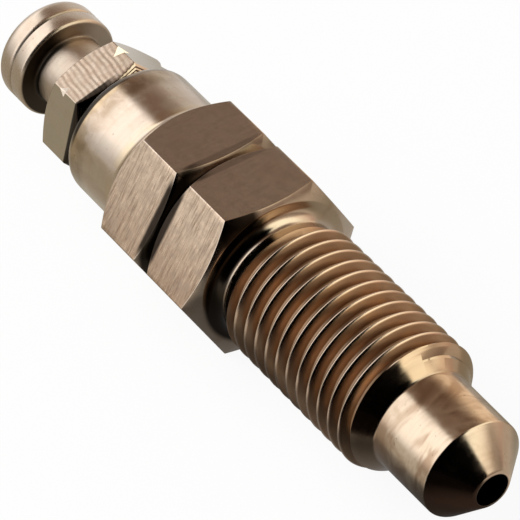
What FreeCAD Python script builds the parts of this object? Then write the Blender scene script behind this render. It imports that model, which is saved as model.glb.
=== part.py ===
# Two-part hydraulic bleed valve: a threaded valve body, a bleed screw that
# turns in it, and a coupling nipple in the screw's collar. The valve lies on
# the flats of its hexagons: +X runs along the axis towards the conical tip,
# +Z is up, and the origin is below the middle of the length, on the surface
# that the valve lies on. Lengths are in millimetres and angles in degrees.
import FreeCAD, Part
import os
import re
import Sketcher
from FreeCAD import Placement, Rotation, Vector

# Driving dimensions. A step is a difference between two radii.
SIZES = {
    # The two large hexagons
    "hex_across_flats": 11.0,
    "hex_face_step": 0.3,
    "hex_front_chamfer_angle": 25.0,
    "hex_rear_chamfer_angle": 35.5,
    "hex_gap": 0.08,
    # Valve body, outside
    "body_hex_edge_length": 3.68,
    "relief_length": 1.3,
    "relief_depth": 0.65,
    "relief_fillet": 0.4,
    "thread_major_diameter": 9.4,
    "thread_length": 13.8,
    "pilot_step": 1.27,
    "pilot_length": 4.85,
    "tip_cone_angle": 90.0,
    "tip_face_diameter": 2.84,
    "tip_bore_diameter": 2.25,
    # Valve body, inside
    "stem_thread_diameter": 6.0,
    "stem_thread_depth": 4.1,
    "seal_bore_step": 0.2,
    "seal_bore_depth": 5.2,
    "chamber_step": 0.3,
    "chamber_length": 3.5,
    "seat_angle": 90.0,
    # Bleed screw, outside
    "screw_hex_edge_length": 3.54,
    "collar_step": 0.83,
    "collar_length": 5.18,
    "collar_shoulder_angle": 41.0,
    "collar_rim_radius": 0.8,
    "collar_root_fillet": 0.35,
    # Bleed screw, stem
    "running_clearance": 0.05,
    "stem_end_clearance": 0.3,
    "stem_thread_chamfer": 0.3,
    "o_ring_groove_place": 1.6,
    "o_ring_groove_width": 1.3,
    "o_ring_groove_depth": 0.8,
    "nose_clearance": 0.4,
    "nose_tip_step": 0.1,
    "seat_clearance": 0.02,
    "cross_hole_diameter": 1.4,
    "cross_hole_place": 1.6,
    # Bleed screw, inside
    "socket_depth": 4.1,
    "check_chamber_length": 3.15,
    "check_seat_angle": 90.0,
    "passage_diameter": 2.2,
    "drill_point_angle": 118.0,
    # Hose nipple
    "nipple_hex_across_flats": 7.78,
    "nipple_hex_turn": 16.4,
    "nipple_chamfer_angle": 30.0,
    "nipple_hex_length": 3.62,
    "nipple_rear_face_step": 0.29,
    "nipple_front_face_step": 0.59,
    "corner_groove_place": 2.05,
    "corner_groove_depth": 0.36,
    "neck_diameter": 4.82,
    "neck_length": 3.14,
    "flange_diameter": 7.12,
    "front_flange_length": 1.09,
    "front_flange_edge": 0.14,
    "flange_groove_width": 0.35,
    "flange_groove_depth": 0.3,
    "flange_groove_lip": 0.05,
    "rear_flange_length": 1.4,
    "head_edge_radius": 0.6,
    "mouth_chamfer": 0.2,
    "spring_pocket_depth": 1.6,
    # Loose inner pieces
    "check_ball_diameter": 3.5,
    "check_ball_clearance": 0.4,
    "spring_wire_diameter": 0.3,
    "spring_mean_diameter": 2.9,
    "spring_turns": 5.0,
    "spring_clearance": 0.15,
    "spring_end_clearance": 0.02,
    "nipple_seal_space": 0.5,
    "nipple_seal_inner_diameter": 4.4,
    "nipple_seal_rim_clearance": 0.1,
    "seal_clearance": 0.01,
}

doc = FreeCAD.newDocument("bleed_nipple")
sheet = doc.addObject("Spreadsheet::Sheet", "sizes")
for row, (alias, value) in enumerate(SIZES.items(), start=1):
    sheet.set(f"A{row}", alias)
    sheet.set(f"B{row}", str(value))
    sheet.setAlias(f"B{row}", alias)
doc.recompute()

SIZE_NAMES = re.compile(r"\b(" + "|".join(SIZES) + r")\b")


def bound(text):
    """An expression in which each size's name points at its cell."""
    return SIZE_NAMES.sub(r"sizes.\1", text)


def number(text):
    """The present value of an expression of named sizes."""
    return float(sheet.evalExpression(bound(text)))


def tie(item, path, text):
    """Bind one property of an object to an expression of named sizes."""
    item.setExpression(path, bound(text))


# Radii shared by several pieces
HEX_CORNER = "(hex_across_flats / (2 * cos(30)))"
HEX_FACE = "(hex_across_flats / 2 - hex_face_step)"
COLLAR_RADIUS = "(hex_across_flats / 2 - collar_step)"
THREAD_RADIUS = "(thread_major_diameter / 2)"
RELIEF_RADIUS = f"({THREAD_RADIUS} - relief_depth)"
PILOT_RADIUS = f"({THREAD_RADIUS} - pilot_step)"
SEAL_BORE_RADIUS = "(stem_thread_diameter / 2 + seal_bore_step)"
GUIDE_RADIUS = f"({SEAL_BORE_RADIUS} - running_clearance)"
RING_GROOVE_RADIUS = f"({GUIDE_RADIUS} - o_ring_groove_depth)"
STEM_RADIUS = "(stem_thread_diameter / 2 - running_clearance)"
CHAMBER_RADIUS = "(stem_thread_diameter / 2 - chamber_step)"
NOSE_RADIUS = f"({CHAMBER_RADIUS} - nose_clearance)"
NOSE_TIP_RADIUS = "(tip_bore_diameter / 2 + nose_tip_step)"
CHECK_CHAMBER_RADIUS = "(check_ball_diameter / 2 + check_ball_clearance)"
SPRING_POCKET_RADIUS = "((spring_mean_diameter + spring_wire_diameter) / 2 + spring_clearance)"
NIPPLE_HEX_CORNER = "(nipple_hex_across_flats / (2 * cos(30)))"

# Places along the valve body, from its rear face
FRONT_CHAMFER = f"(({HEX_CORNER} - {HEX_FACE}) * tan(hex_front_chamfer_angle))"
REAR_CHAMFER = f"(({HEX_CORNER} - {HEX_FACE}) * tan(hex_rear_chamfer_angle))"
BODY_HEX_END = f"({REAR_CHAMFER} + body_hex_edge_length + {FRONT_CHAMFER})"
THREAD_START = f"({BODY_HEX_END} + relief_length)"
THREAD_END = f"({THREAD_START} + thread_length)"
CONE_START = f"({THREAD_END} + pilot_length)"
BODY_LENGTH = (
    f"({CONE_START} + ({PILOT_RADIUS} - tip_face_diameter / 2) / tan(tip_cone_angle / 2))"
)
STEM_THREAD_END = "(seal_bore_depth + stem_thread_depth)"
SEAT_START = f"({STEM_THREAD_END} + chamber_length)"
SEAT_END = f"({SEAT_START} + ({CHAMBER_RADIUS} - tip_bore_diameter / 2) / tan(seat_angle / 2))"

# Places along the bleed screw, from its collar's rear face
SHOULDER_END = (
    f"(collar_length + ({HEX_CORNER} - {COLLAR_RADIUS}) * tan(collar_shoulder_angle))"
)
SCREW_HEX_END = f"({SHOULDER_END} + screw_hex_edge_length + {FRONT_CHAMFER})"
STEM_ROOT = f"({SCREW_HEX_END} + hex_gap)"
CHECK_SEAT_START = "(socket_depth + check_chamber_length)"
BALL_PLACE = (
    f"({CHECK_SEAT_START} + {CHECK_CHAMBER_RADIUS} / tan(check_seat_angle / 2)"
    " - (check_ball_diameter / 2 + seat_clearance) / sin(check_seat_angle / 2))"
)
STUB_END = "(socket_depth - nipple_seal_space)"
SPRING_REAR = (
    f"({STUB_END} - spring_pocket_depth + spring_wire_diameter / 2 + spring_end_clearance)"
)
BALL_TO_WIRE = "((check_ball_diameter + spring_wire_diameter) / 2 + spring_end_clearance)"
SPRING_FRONT = f"({BALL_PLACE} - sqrt({BALL_TO_WIRE} ^ 2 - (spring_mean_diameter / 2) ^ 2))"

# Places along the nipple, from the outer end of its head
FLANGE_GROOVE_END = "(rear_flange_length + flange_groove_width)"
NECK_START = f"({FLANGE_GROOVE_END} + front_flange_length)"
NIPPLE_HEX_START = f"({NECK_START} + neck_length)"
NIPPLE_LENGTH = f"({NIPPLE_HEX_START} + nipple_hex_length)"

# Places along the whole valve, from the middle of its length
TOTAL_LENGTH = f"({BODY_LENGTH} + {STEM_ROOT} + {NIPPLE_LENGTH})"
BODY_PLACE = f"({TOTAL_LENGTH} / 2 - {BODY_LENGTH})"
SCREW_PLACE = f"({BODY_PLACE} - {STEM_ROOT})"
NIPPLE_PLACE = f"({SCREW_PLACE} - {NIPPLE_LENGTH})"
AXIS_HEIGHT = "(hex_across_flats / 2)"


def new_body(label, along):
    """A piece modelled about its own X axis and set on the valve's axis."""
    body = doc.addObject("PartDesign::Body", label)
    body.Label = label
    tie(body, ".Placement.Base.x", along)
    tie(body, ".Placement.Base.z", AXIS_HEIGHT)
    return body


def new_sketch(body, name, role):
    """A sketch on one of the body's own origin planes."""
    sketch = body.newObject("Sketcher::SketchObject", name)
    plane = [item for item in body.Origin.OriginFeatures if item.Role == role][0]
    sketch.AttachmentSupport = [(plane, "")]
    sketch.MapMode = "FlatFace"
    return sketch


def constrain(sketch, *terms):
    """Add one constraint. A last term in words is the size that drives it."""
    if isinstance(terms[-1], str):
        text = terms[-1]
        held = Sketcher.Constraint(*terms[:-1], number(text))
        index = sketch.addConstraint(held)
        tie(sketch, f"Constraints[{index}]", text)
    else:
        sketch.addConstraint(Sketcher.Constraint(*terms))


# Sketcher numbers: the start and the end of a line, the centre of a circle,
# and the sketch's own horizontal and vertical axes
START, END, CENTRE = 1, 2, 3
H_AXIS, V_AXIS = -1, -2


def closed_lines(sketch, points):
    """A closed chain of lines through the points, joined end to start."""
    count = len(points)
    for index in range(count):
        sketch.addGeometry(Part.LineSegment(points[index], points[(index + 1) % count]))
    for index in range(count):
        constrain(sketch, "Coincident", index, END, (index + 1) % count, START)


def half_section(body, name, corners):
    """A closed half section. Each corner is a place along the axis and a radius."""
    sketch = new_sketch(body, name, "XZ_Plane")
    points = [Vector(number(along), number(radius), 0) for along, radius in corners]
    closed_lines(sketch, points)
    for index, (along, radius) in enumerate(corners):
        if along == "0":
            constrain(sketch, "PointOnObject", index, START, V_AXIS)
        else:
            constrain(sketch, "DistanceX", H_AXIS, START, index, START, along)
        if radius == "0":
            constrain(sketch, "PointOnObject", index, START, H_AXIS)
        else:
            constrain(sketch, "DistanceY", H_AXIS, START, index, START, radius)
    return sketch


def turned(body, name, corners):
    """Solid of a half section turned about the axis."""
    sketch = half_section(body, name + "_section", corners)
    feature = body.newObject("PartDesign::Revolution", name)
    feature.Profile = sketch
    feature.ReferenceAxis = (sketch, ["H_Axis"])
    feature.Angle = 360
    doc.recompute()


def require_less(body, before, name):
    """Stop if a cut has taken nothing away."""
    doc.recompute()
    if not body.Shape.Volume < before:
        raise RuntimeError(name + " cuts nothing")


def bored(body, name, corners):
    """Hollow of a half section turned about the axis."""
    before = body.Shape.Volume
    sketch = half_section(body, name + "_section", corners)
    feature = body.newObject("PartDesign::Groove", name)
    feature.Profile = sketch
    feature.ReferenceAxis = (sketch, ["H_Axis"])
    feature.Angle = 360
    require_less(body, before, name)


def hexagon_flats(body, name, corner_radius, reach):
    """Cut six flats, from the piece's start as far as the reach."""
    before = body.Shape.Volume
    sketch = new_sketch(body, name + "_section", "YZ_Plane")
    radius = number(corner_radius)
    sixth = Rotation(Vector(0, 0, 1), 60)
    points = [Vector(radius, 0, 0)]
    for _ in range(5):
        points.append(sixth.multVec(points[-1]))
    closed_lines(sketch, points)
    corner_circle = Part.Circle(Vector(0, 0, 0), Vector(0, 0, 1), radius)
    guide = sketch.addGeometry(corner_circle, True)
    outer_circle = Part.Circle(Vector(0, 0, 0), Vector(0, 0, 1), 2 * radius)
    outer = sketch.addGeometry(outer_circle)
    constrain(sketch, "Coincident", guide, CENTRE, H_AXIS, START)
    constrain(sketch, "Coincident", outer, CENTRE, H_AXIS, START)
    constrain(sketch, "Radius", guide, corner_radius)
    constrain(sketch, "Radius", outer, f"2 * {corner_radius}")
    for index in range(6):
        constrain(sketch, "PointOnObject", index, START, guide)
    for index in range(1, 6):
        constrain(sketch, "Equal", 0, index)
    constrain(sketch, "PointOnObject", 0, START, H_AXIS)
    feature = body.newObject("PartDesign::Pocket", name)
    feature.Profile = sketch
    feature.Reversed = True
    tie(feature, "Length", reach)
    require_less(body, before, name)


def rounded(body, name, along, radius, size):
    """Fillet of the round edge at a place along the axis."""
    base = body.Tip
    edges = []
    for index, edge in enumerate(base.Shape.Edges, start=1):
        if isinstance(edge.Curve, Part.Circle):
            off_place = abs(edge.Curve.Center.x - number(along))
            off_radius = abs(edge.Curve.Radius - number(radius))
            if max(off_place, off_radius) < 1e-4:
                edges.append(f"Edge{index}")
    if not edges:
        raise RuntimeError(name + " has no edge")
    feature = body.newObject("PartDesign::Fillet", name)
    feature.Base = (base, edges)
    tie(feature, "Radius", size)
    doc.recompute()


# Valve body: one turned piece with its hexagon
valve_body = new_body("valve_body", BODY_PLACE)
turned(valve_body, "body_outside", [
    ("0", "0"),
    ("0", HEX_FACE),
    (REAR_CHAMFER, HEX_CORNER),
    (f"{REAR_CHAMFER} + body_hex_edge_length", HEX_CORNER),
    (BODY_HEX_END, HEX_FACE),
    (BODY_HEX_END, RELIEF_RADIUS),
    (THREAD_START, RELIEF_RADIUS),
    (f"{THREAD_START} + relief_depth", THREAD_RADIUS),
    (f"{THREAD_END} - pilot_step", THREAD_RADIUS),
    (THREAD_END, PILOT_RADIUS),
    (CONE_START, PILOT_RADIUS),
    (BODY_LENGTH, "tip_face_diameter / 2"),
    (BODY_LENGTH, "0"),
])
hexagon_flats(valve_body, "body_flats", HEX_CORNER, BODY_HEX_END)
rounded(valve_body, "relief_root", BODY_HEX_END, RELIEF_RADIUS, "relief_fillet")
# Seal bore, thread for the stem, chamber, conical seat and inlet bore
bored(valve_body, "body_inside", [
    ("0", "0"),
    ("0", SEAL_BORE_RADIUS),
    ("seal_bore_depth", SEAL_BORE_RADIUS),
    ("seal_bore_depth", "stem_thread_diameter / 2"),
    (STEM_THREAD_END, "stem_thread_diameter / 2"),
    (STEM_THREAD_END, CHAMBER_RADIUS),
    (SEAT_START, CHAMBER_RADIUS),
    (SEAT_END, "tip_bore_diameter / 2"),
    (BODY_LENGTH, "tip_bore_diameter / 2"),
    (BODY_LENGTH, "0"),
])

# Bleed screw: collar, hexagon and the stem that turns in the valve body. The
# cone of its nose is parallel to the body's seat, a clearance away from it.
guide_end = f"({STEM_ROOT} + seal_bore_depth - stem_end_clearance)"
groove_start = f"({STEM_ROOT} + o_ring_groove_place)"
groove_end = f"({groove_start} + o_ring_groove_width)"
stem_end = f"({STEM_ROOT} + {STEM_THREAD_END} - stem_end_clearance)"
seat_apex = f"({STEM_ROOT} + {SEAT_START} + {CHAMBER_RADIUS} / tan(seat_angle / 2))"
nose_apex = f"({seat_apex} - seat_clearance / sin(seat_angle / 2))"
nose_shoulder = f"({nose_apex} - {NOSE_RADIUS} / tan(seat_angle / 2))"
nose_tip = f"({nose_apex} - {NOSE_TIP_RADIUS} / tan(seat_angle / 2))"

bleed_screw = new_body("bleed_screw", SCREW_PLACE)
turned(bleed_screw, "screw_outside", [
    ("0", "0"),
    ("0", COLLAR_RADIUS),
    ("collar_length", COLLAR_RADIUS),
    (SHOULDER_END, HEX_CORNER),
    (f"{SHOULDER_END} + screw_hex_edge_length", HEX_CORNER),
    (SCREW_HEX_END, HEX_FACE),
    (SCREW_HEX_END, GUIDE_RADIUS),
    (groove_start, GUIDE_RADIUS),
    (groove_start, RING_GROOVE_RADIUS),
    (groove_end, RING_GROOVE_RADIUS),
    (groove_end, GUIDE_RADIUS),
    (guide_end, GUIDE_RADIUS),
    (guide_end, STEM_RADIUS),
    (f"{stem_end} - stem_thread_chamfer", STEM_RADIUS),
    (stem_end, f"{STEM_RADIUS} - stem_thread_chamfer"),
    (stem_end, NOSE_RADIUS),
    (nose_shoulder, NOSE_RADIUS),
    (nose_tip, NOSE_TIP_RADIUS),
    (nose_tip, "0"),
])
hexagon_flats(bleed_screw, "screw_flats", HEX_CORNER, SCREW_HEX_END)
rounded(bleed_screw, "collar_rim", "0", COLLAR_RADIUS, "collar_rim_radius")
rounded(bleed_screw, "collar_root", "collar_length", COLLAR_RADIUS, "collar_root_fillet")
# Nipple socket, check chamber, ball seat and passage with its drill point
cross_hole = f"({STEM_ROOT} + {STEM_THREAD_END} + cross_hole_place)"
passage_end = f"({cross_hole} + cross_hole_diameter / 2)"
check_seat_end = (
    f"({CHECK_SEAT_START}"
    f" + ({CHECK_CHAMBER_RADIUS} - passage_diameter / 2) / tan(check_seat_angle / 2))"
)
bored(bleed_screw, "screw_inside", [
    ("0", "0"),
    ("0", "stem_thread_diameter / 2"),
    ("socket_depth", "stem_thread_diameter / 2"),
    ("socket_depth", CHECK_CHAMBER_RADIUS),
    (CHECK_SEAT_START, CHECK_CHAMBER_RADIUS),
    (check_seat_end, "passage_diameter / 2"),
    (passage_end, "passage_diameter / 2"),
    (f"{passage_end} + passage_diameter / 2 / tan(drill_point_angle / 2)", "0"),
])
# The cross hole joins the passage to the chamber around the nose
solid_before = bleed_screw.Shape.Volume
hole_section = new_sketch(bleed_screw, "cross_hole_section", "XZ_Plane")
hole_middle = Vector(number(cross_hole), 0, 0)
hole_radius = number("cross_hole_diameter / 2")
hole_circle = Part.Circle(hole_middle, Vector(0, 0, 1), hole_radius)
circle = hole_section.addGeometry(hole_circle)
constrain(hole_section, "PointOnObject", circle, CENTRE, H_AXIS)
constrain(hole_section, "DistanceX", H_AXIS, START, circle, CENTRE, cross_hole)
constrain(hole_section, "Radius", circle, "cross_hole_diameter / 2")
hole = bleed_screw.newObject("PartDesign::Pocket", "cross_hole")
hole.Profile = hole_section
hole.Midplane = True
tie(hole, "Length", f"4 * {NOSE_RADIUS}")
require_less(bleed_screw, solid_before, "cross_hole")

# Hose nipple: head of two flanges, neck, small hexagon and threaded stub
rear_face_radius = "(nipple_hex_across_flats / 2 - nipple_rear_face_step)"
front_face_radius = "(nipple_hex_across_flats / 2 - nipple_front_face_step)"
rear_corner = (
    f"({NIPPLE_HEX_START}"
    f" + ({NIPPLE_HEX_CORNER} - {rear_face_radius}) * tan(nipple_chamfer_angle))"
)
front_corner = (
    f"({NIPPLE_LENGTH}"
    f" - ({NIPPLE_HEX_CORNER} - {front_face_radius}) * tan(nipple_chamfer_angle))"
)
corner_groove = f"({NIPPLE_LENGTH} - corner_groove_place)"
stub_end = f"({NIPPLE_LENGTH} + {STUB_END})"
pocket_start = f"({stub_end} - spring_pocket_depth)"

hose_nipple = new_body("hose_nipple", NIPPLE_PLACE)
hose_nipple.Placement.Rotation = Rotation(Vector(1, 0, 0), SIZES["nipple_hex_turn"])
tie(hose_nipple, ".Placement.Rotation.Angle", "nipple_hex_turn")
turned(hose_nipple, "nipple_outside", [
    ("0", "0"),
    ("0", "flange_diameter / 2"),
    ("rear_flange_length", "flange_diameter / 2"),
    (f"{FLANGE_GROOVE_END} - flange_groove_lip", "flange_diameter / 2 - flange_groove_depth"),
    (FLANGE_GROOVE_END, "flange_diameter / 2"),
    (f"{NECK_START} - front_flange_edge", "flange_diameter / 2"),
    (NECK_START, "flange_diameter / 2 - front_flange_edge"),
    (NECK_START, "neck_diameter / 2"),
    (NIPPLE_HEX_START, "neck_diameter / 2"),
    (NIPPLE_HEX_START, rear_face_radius),
    (rear_corner, NIPPLE_HEX_CORNER),
    (f"{corner_groove} - corner_groove_depth", NIPPLE_HEX_CORNER),
    (corner_groove, f"{NIPPLE_HEX_CORNER} - corner_groove_depth"),
    (f"{corner_groove} + corner_groove_depth", NIPPLE_HEX_CORNER),
    (front_corner, NIPPLE_HEX_CORNER),
    (NIPPLE_LENGTH, front_face_radius),
    (NIPPLE_LENGTH, STEM_RADIUS),
    (f"{stub_end} - stem_thread_chamfer", STEM_RADIUS),
    (stub_end, f"{STEM_RADIUS} - stem_thread_chamfer"),
    (stub_end, "0"),
])
hexagon_flats(hose_nipple, "nipple_flats", NIPPLE_HEX_CORNER, NIPPLE_LENGTH)
rounded(hose_nipple, "head_edge", "0", "flange_diameter / 2", "head_edge_radius")
# Outlet bore with its mouth, and the pocket for the check spring
bored(hose_nipple, "nipple_inside", [
    ("0", "0"),
    ("0", "passage_diameter / 2 + mouth_chamfer"),
    ("mouth_chamfer", "passage_diameter / 2"),
    (pocket_start, "passage_diameter / 2"),
    (pocket_start, SPRING_POCKET_RADIUS),
    (stub_end, SPRING_POCKET_RADIUS),
    (stub_end, "0"),
])

# Sealing ring between the nipple's stub and the shoulder of its socket
nipple_seal = new_body("nipple_seal", f"{SCREW_PLACE} + {STUB_END} + seal_clearance")
seal_rim = "(stem_thread_diameter / 2 - nipple_seal_rim_clearance)"
seal_thickness = "(nipple_seal_space - 2 * seal_clearance)"
turned(nipple_seal, "seal_ring", [
    ("0", "nipple_seal_inner_diameter / 2"),
    ("0", seal_rim),
    (seal_thickness, seal_rim),
    (seal_thickness, "nipple_seal_inner_diameter / 2"),
])

# Check spring: a wire wound from the nipple's pocket to the back of the ball
check_spring = new_body("check_spring", f"{SCREW_PLACE} + {SPRING_REAR}")
wire_section = new_sketch(check_spring, "wire_section", "XZ_Plane")
wire_middle = Vector(0, number("spring_mean_diameter / 2"), 0)
wire_radius = number("spring_wire_diameter / 2")
circle = wire_section.addGeometry(Part.Circle(wire_middle, Vector(0, 0, 1), wire_radius))
constrain(wire_section, "PointOnObject", circle, CENTRE, V_AXIS)
constrain(wire_section, "DistanceY", H_AXIS, START, circle, CENTRE, "spring_mean_diameter / 2")
constrain(wire_section, "Radius", circle, "spring_wire_diameter / 2")
winding = check_spring.newObject("PartDesign::AdditiveHelix", "spring_winding")
winding.Profile = wire_section
winding.ReferenceAxis = (wire_section, ["H_Axis"])
winding.Mode = "height-turns-angle"
tie(winding, "Height", f"{SPRING_FRONT} - {SPRING_REAR}")
tie(winding, "Turns", "spring_turns")
doc.recompute()

# Check ball, just off its conical seat
check_ball = doc.addObject("Part::Sphere", "check_ball")
check_ball.Label = "check_ball"
tie(check_ball, "Radius", "check_ball_diameter / 2")
tie(check_ball, ".Placement.Base.x", f"{SCREW_PLACE} + {BALL_PLACE}")
tie(check_ball, ".Placement.Base.z", AXIS_HEIGHT)

# O-ring in the stem's groove, a little smaller than the space that it fills
ring_space = f"({SEAL_BORE_RADIUS} - {RING_GROOVE_RADIUS})"
stem_o_ring = doc.addObject("Part::Torus", "stem_o_ring")
stem_o_ring.Label = "stem_o_ring"
stem_o_ring.Placement = Placement(Vector(0, 0, 0), Rotation(Vector(0, 1, 0), 90))
tie(stem_o_ring, "Radius1", f"{RING_GROOVE_RADIUS} + {ring_space} / 2")
tie(stem_o_ring, "Radius2", f"{ring_space} / 2 - seal_clearance")
ring_place = f"{BODY_PLACE} + o_ring_groove_place + o_ring_groove_width / 2"
tie(stem_o_ring, ".Placement.Base.x", ring_place)
tie(stem_o_ring, ".Placement.Base.z", AXIS_HEIGHT)
doc.recompute()

# Check everything, then write one file for each piece
PIECES = [
    valve_body,
    bleed_screw,
    stem_o_ring,
    check_ball,
    check_spring,
    nipple_seal,
    hose_nipple,
]
for item in doc.Objects:
    if "Invalid" in item.State or "Error" in item.State:
        raise RuntimeError(item.Label + " failed to build")
for piece in PIECES:
    if piece.Shape.isNull() or not piece.Shape.isValid():
        raise RuntimeError(piece.Label + " has no valid shape")
    if len(piece.Shape.Solids) != 1:
        raise RuntimeError(piece.Label + " is not one solid")
os.makedirs("parts", exist_ok=True)
for piece in PIECES:
    piece.Shape.exportStep(f"parts/{piece.Label}.step")
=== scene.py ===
# Looks of a two-part hydraulic bleed valve in warm plated steel. It lies on the
# flats of its big hexagons, with its tip towards +x. Lengths are in mm, except
# in names that end in _M and for the camera and the studio, which are in metres.
import math

import bmesh
import bpy
import numpy as np
from mathutils import Matrix, Vector


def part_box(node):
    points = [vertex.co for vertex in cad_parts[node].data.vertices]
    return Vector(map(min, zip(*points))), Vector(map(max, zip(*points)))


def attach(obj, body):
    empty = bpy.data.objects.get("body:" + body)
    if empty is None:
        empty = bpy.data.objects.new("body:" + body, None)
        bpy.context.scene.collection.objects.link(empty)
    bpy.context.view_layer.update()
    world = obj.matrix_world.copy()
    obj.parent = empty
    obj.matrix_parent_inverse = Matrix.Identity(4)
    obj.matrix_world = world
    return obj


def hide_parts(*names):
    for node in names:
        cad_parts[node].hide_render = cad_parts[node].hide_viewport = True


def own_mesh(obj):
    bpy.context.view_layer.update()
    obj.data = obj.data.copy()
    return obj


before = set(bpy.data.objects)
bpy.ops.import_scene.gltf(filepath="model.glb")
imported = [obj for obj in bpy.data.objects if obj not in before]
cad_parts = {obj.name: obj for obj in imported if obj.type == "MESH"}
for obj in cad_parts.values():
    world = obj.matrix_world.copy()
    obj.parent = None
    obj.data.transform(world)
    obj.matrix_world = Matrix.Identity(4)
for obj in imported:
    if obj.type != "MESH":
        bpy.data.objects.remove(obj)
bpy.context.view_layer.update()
scene = bpy.context.scene

MM = 0.001

# The valve's axis is level, AXIS_HEIGHT above the floor. Stations along it are
# measured from the front corners of the valve body's hexagon. Directions round
# it are in degrees: 0 is +y, the far side, and 90 is up.
AXIS_HEIGHT = 5.5
STATION_SHIFT = 1.2

# Edges that turn by more than this stay crisp
CREASE = math.radians(28.0)

# A corner's rounding takes up at most this share of the lines beside it
ROUND_SHARE = 0.48

# Vertices nearer to each other than MERGE_M become one, and edges shorter than
# SHORTEST_M go. Large faces count this much in a shape's even normals.
MERGE_M = 2e-7
SHORTEST_M = 1e-7
LARGE_FACE_WEIGHT = 80

# Directions are rounded to this many digits, so that equal ones are found
ANGLE_DIGITS = 4

# Places of the materials on a piece. The turned metal comes first on each.
TURNED = 0
FLATS = 1
THREAD = 2
RIBBED = 1

# Angle between two corners of a hexagon
SECTOR = 60.0
HALF_SECTOR = 30.0

# Big hexagons: axis to flat, direction of a flat, rounding of the corners,
# radius of the end faces, and slopes of the chamfers
BIG_FLAT = 5.5
BIG_TURN = 30.0
BIG_ROUND = 0.09
FACE_RADIUS = 5.2
FRONT_CHAMFER = math.tan(math.radians(25.0))
REAR_CHAMFER = math.tan(math.radians(35.5))
SHOULDER_CHAMFER = math.tan(math.radians(41.0))

# Valve body, outside: the hexagon's faces, the relief in front of it, and the
# thread with its lead-in chamfer
BODY_REAR = -4.50
BODY_FRONT = 0.537
RELIEF_RADIUS = 4.05
RELIEF_FILLET = 0.76
RELIEF_RISE = math.tan(math.radians(16.0))
FILLET_POINTS = 12
THREAD_START = 1.84
THREAD_START_RADIUS = RELIEF_RADIUS + (THREAD_START - BODY_FRONT - RELIEF_FILLET) * RELIEF_RISE
LEAD_IN = 14.40
THREAD_END = 15.06

# Valve body, inside
O_RING_BORE_RADIUS = 3.2
O_RING_BORE_END = 0.7
INNER_THREAD_RADIUS = 3.0
CHAMBER_START = 4.80
CHAMBER_RADIUS = 2.7
TIP_BORE_RADIUS = 1.125

# Outer thread, right-hand. Its crest passes station PHASE in direction
# PHASE_TURN. CREST_SHAPE has points beside the crest, as distances along and
# down from it, and ROOT_ROUND is how far the last point lies from the root.
PITCH = 25.4 / 24
PHASE = 2.986
PHASE_TURN = 117.0
CREST_RADIUS = 4.7
ROOT_RADIUS = 4.06
CREST_SHAPE = [(0.0, 0.0), (0.018, 0.002), (0.050, 0.016), (0.090, 0.046), (0.150, 0.115)]
ROOT_ROUND = (0.12, 0.030)

# The helix gets more turns than it needs, and each direction's row of points is
# cut to length. A point beyond the ends starts outside everything, so that the
# run-out and the lead-in chamfer set its radius.
TURNS_BEFORE = 2
SPARE_TURNS = 5
OUTSIDE_RADIUS = 99.0

# Bleed screw
SCREW_FRONT = -4.583
COLLAR_FRONT = -10.12
COLLAR_REAR = -15.30
COLLAR_RADIUS = 4.67
NOSE_RADIUS = 2.3
STEM_THREAD_RADIUS = 2.95
STEM_RADIUS = 3.15
O_RING_GROOVE_RADIUS = 2.35
SOCKET_RADIUS = 3.0
SOCKET_END = -11.2
SPRING_CHAMBER_RADIUS = 2.15
PASSAGE_RADIUS = 1.1

# Hose nipple: the small hexagon with its chamfers, then neck and flanges
SMALL_FLAT = 3.89
SMALL_CORNER = 16.4
SMALL_TURN = SMALL_CORNER + HALF_SECTOR
SMALL_ROUND = 0.07
SMALL_CHAMFER = math.tan(math.radians(30.0))
SMALL_FRONT = -15.30
SMALL_FRONT_RADIUS = 3.3
SMALL_REAR = -18.92
SMALL_REAR_RADIUS = 3.6
NECK_RADIUS = 2.41
NECK_END = -22.06
FLANGE_RADIUS = 3.56
HEAD_END = -24.897
STUB_END = -11.7
STUB_RADIUS = 2.95
STUB_BORE_END = -13.3
STUB_BORE_RADIUS = 1.75

# Groove cut round the small hexagon's corners: its station, its radius, how
# much deeper it is in one direction, and the slopes of its walls
GROOVE = -17.35
GROOVE_RADIUS = 4.354
GROOVE_LEAN = 0.181
GROOVE_LEAN_TURN = 60.0
GROOVE_FRONT_WALL = 0.7
GROOVE_REAR_WALL = 1.6
GROOVE_REAR_SWELL = 1.4
GROOVE_SWELL_TURN = 76.4

# Small turned steps on the hexagon's front chamfer: the shares of the chamfer
# where they start and end, their count, the share of a step's height that comes
# at its start, and the share of its length where it has its full height
STEP_SHARES = (0.10, 0.94)
STEP_COUNT = 5
STEP_LOW = 0.6
STEP_HIGH = 0.75

# Wavy ribs along every second flat of the small hexagon. They fade out over
# RIB_FADE degrees and end RIB_LIMIT degrees from the middle of the flat. Rows
# of points before and behind the groove follow their waves.
RIBBED_FLATS = (106.4, 226.4, 346.4)
RIB_WIDTH = 0.36
RIB_DEPTH = 0.011
RIB_LIMIT = 29.4
RIB_FADE = 1.2
ROWS_BEFORE_GROOVE = 6
ROWS_BEHIND_GROOVE = 5

# Check spring.
SPRING_TURNS = 5
SPRING_WIRE = 0.3
SPRING_MEAN = 2.9
SPRING_START_TURN = 90.0
SPRING_STEPS = 200
WIRE_SIDES = 12


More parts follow.
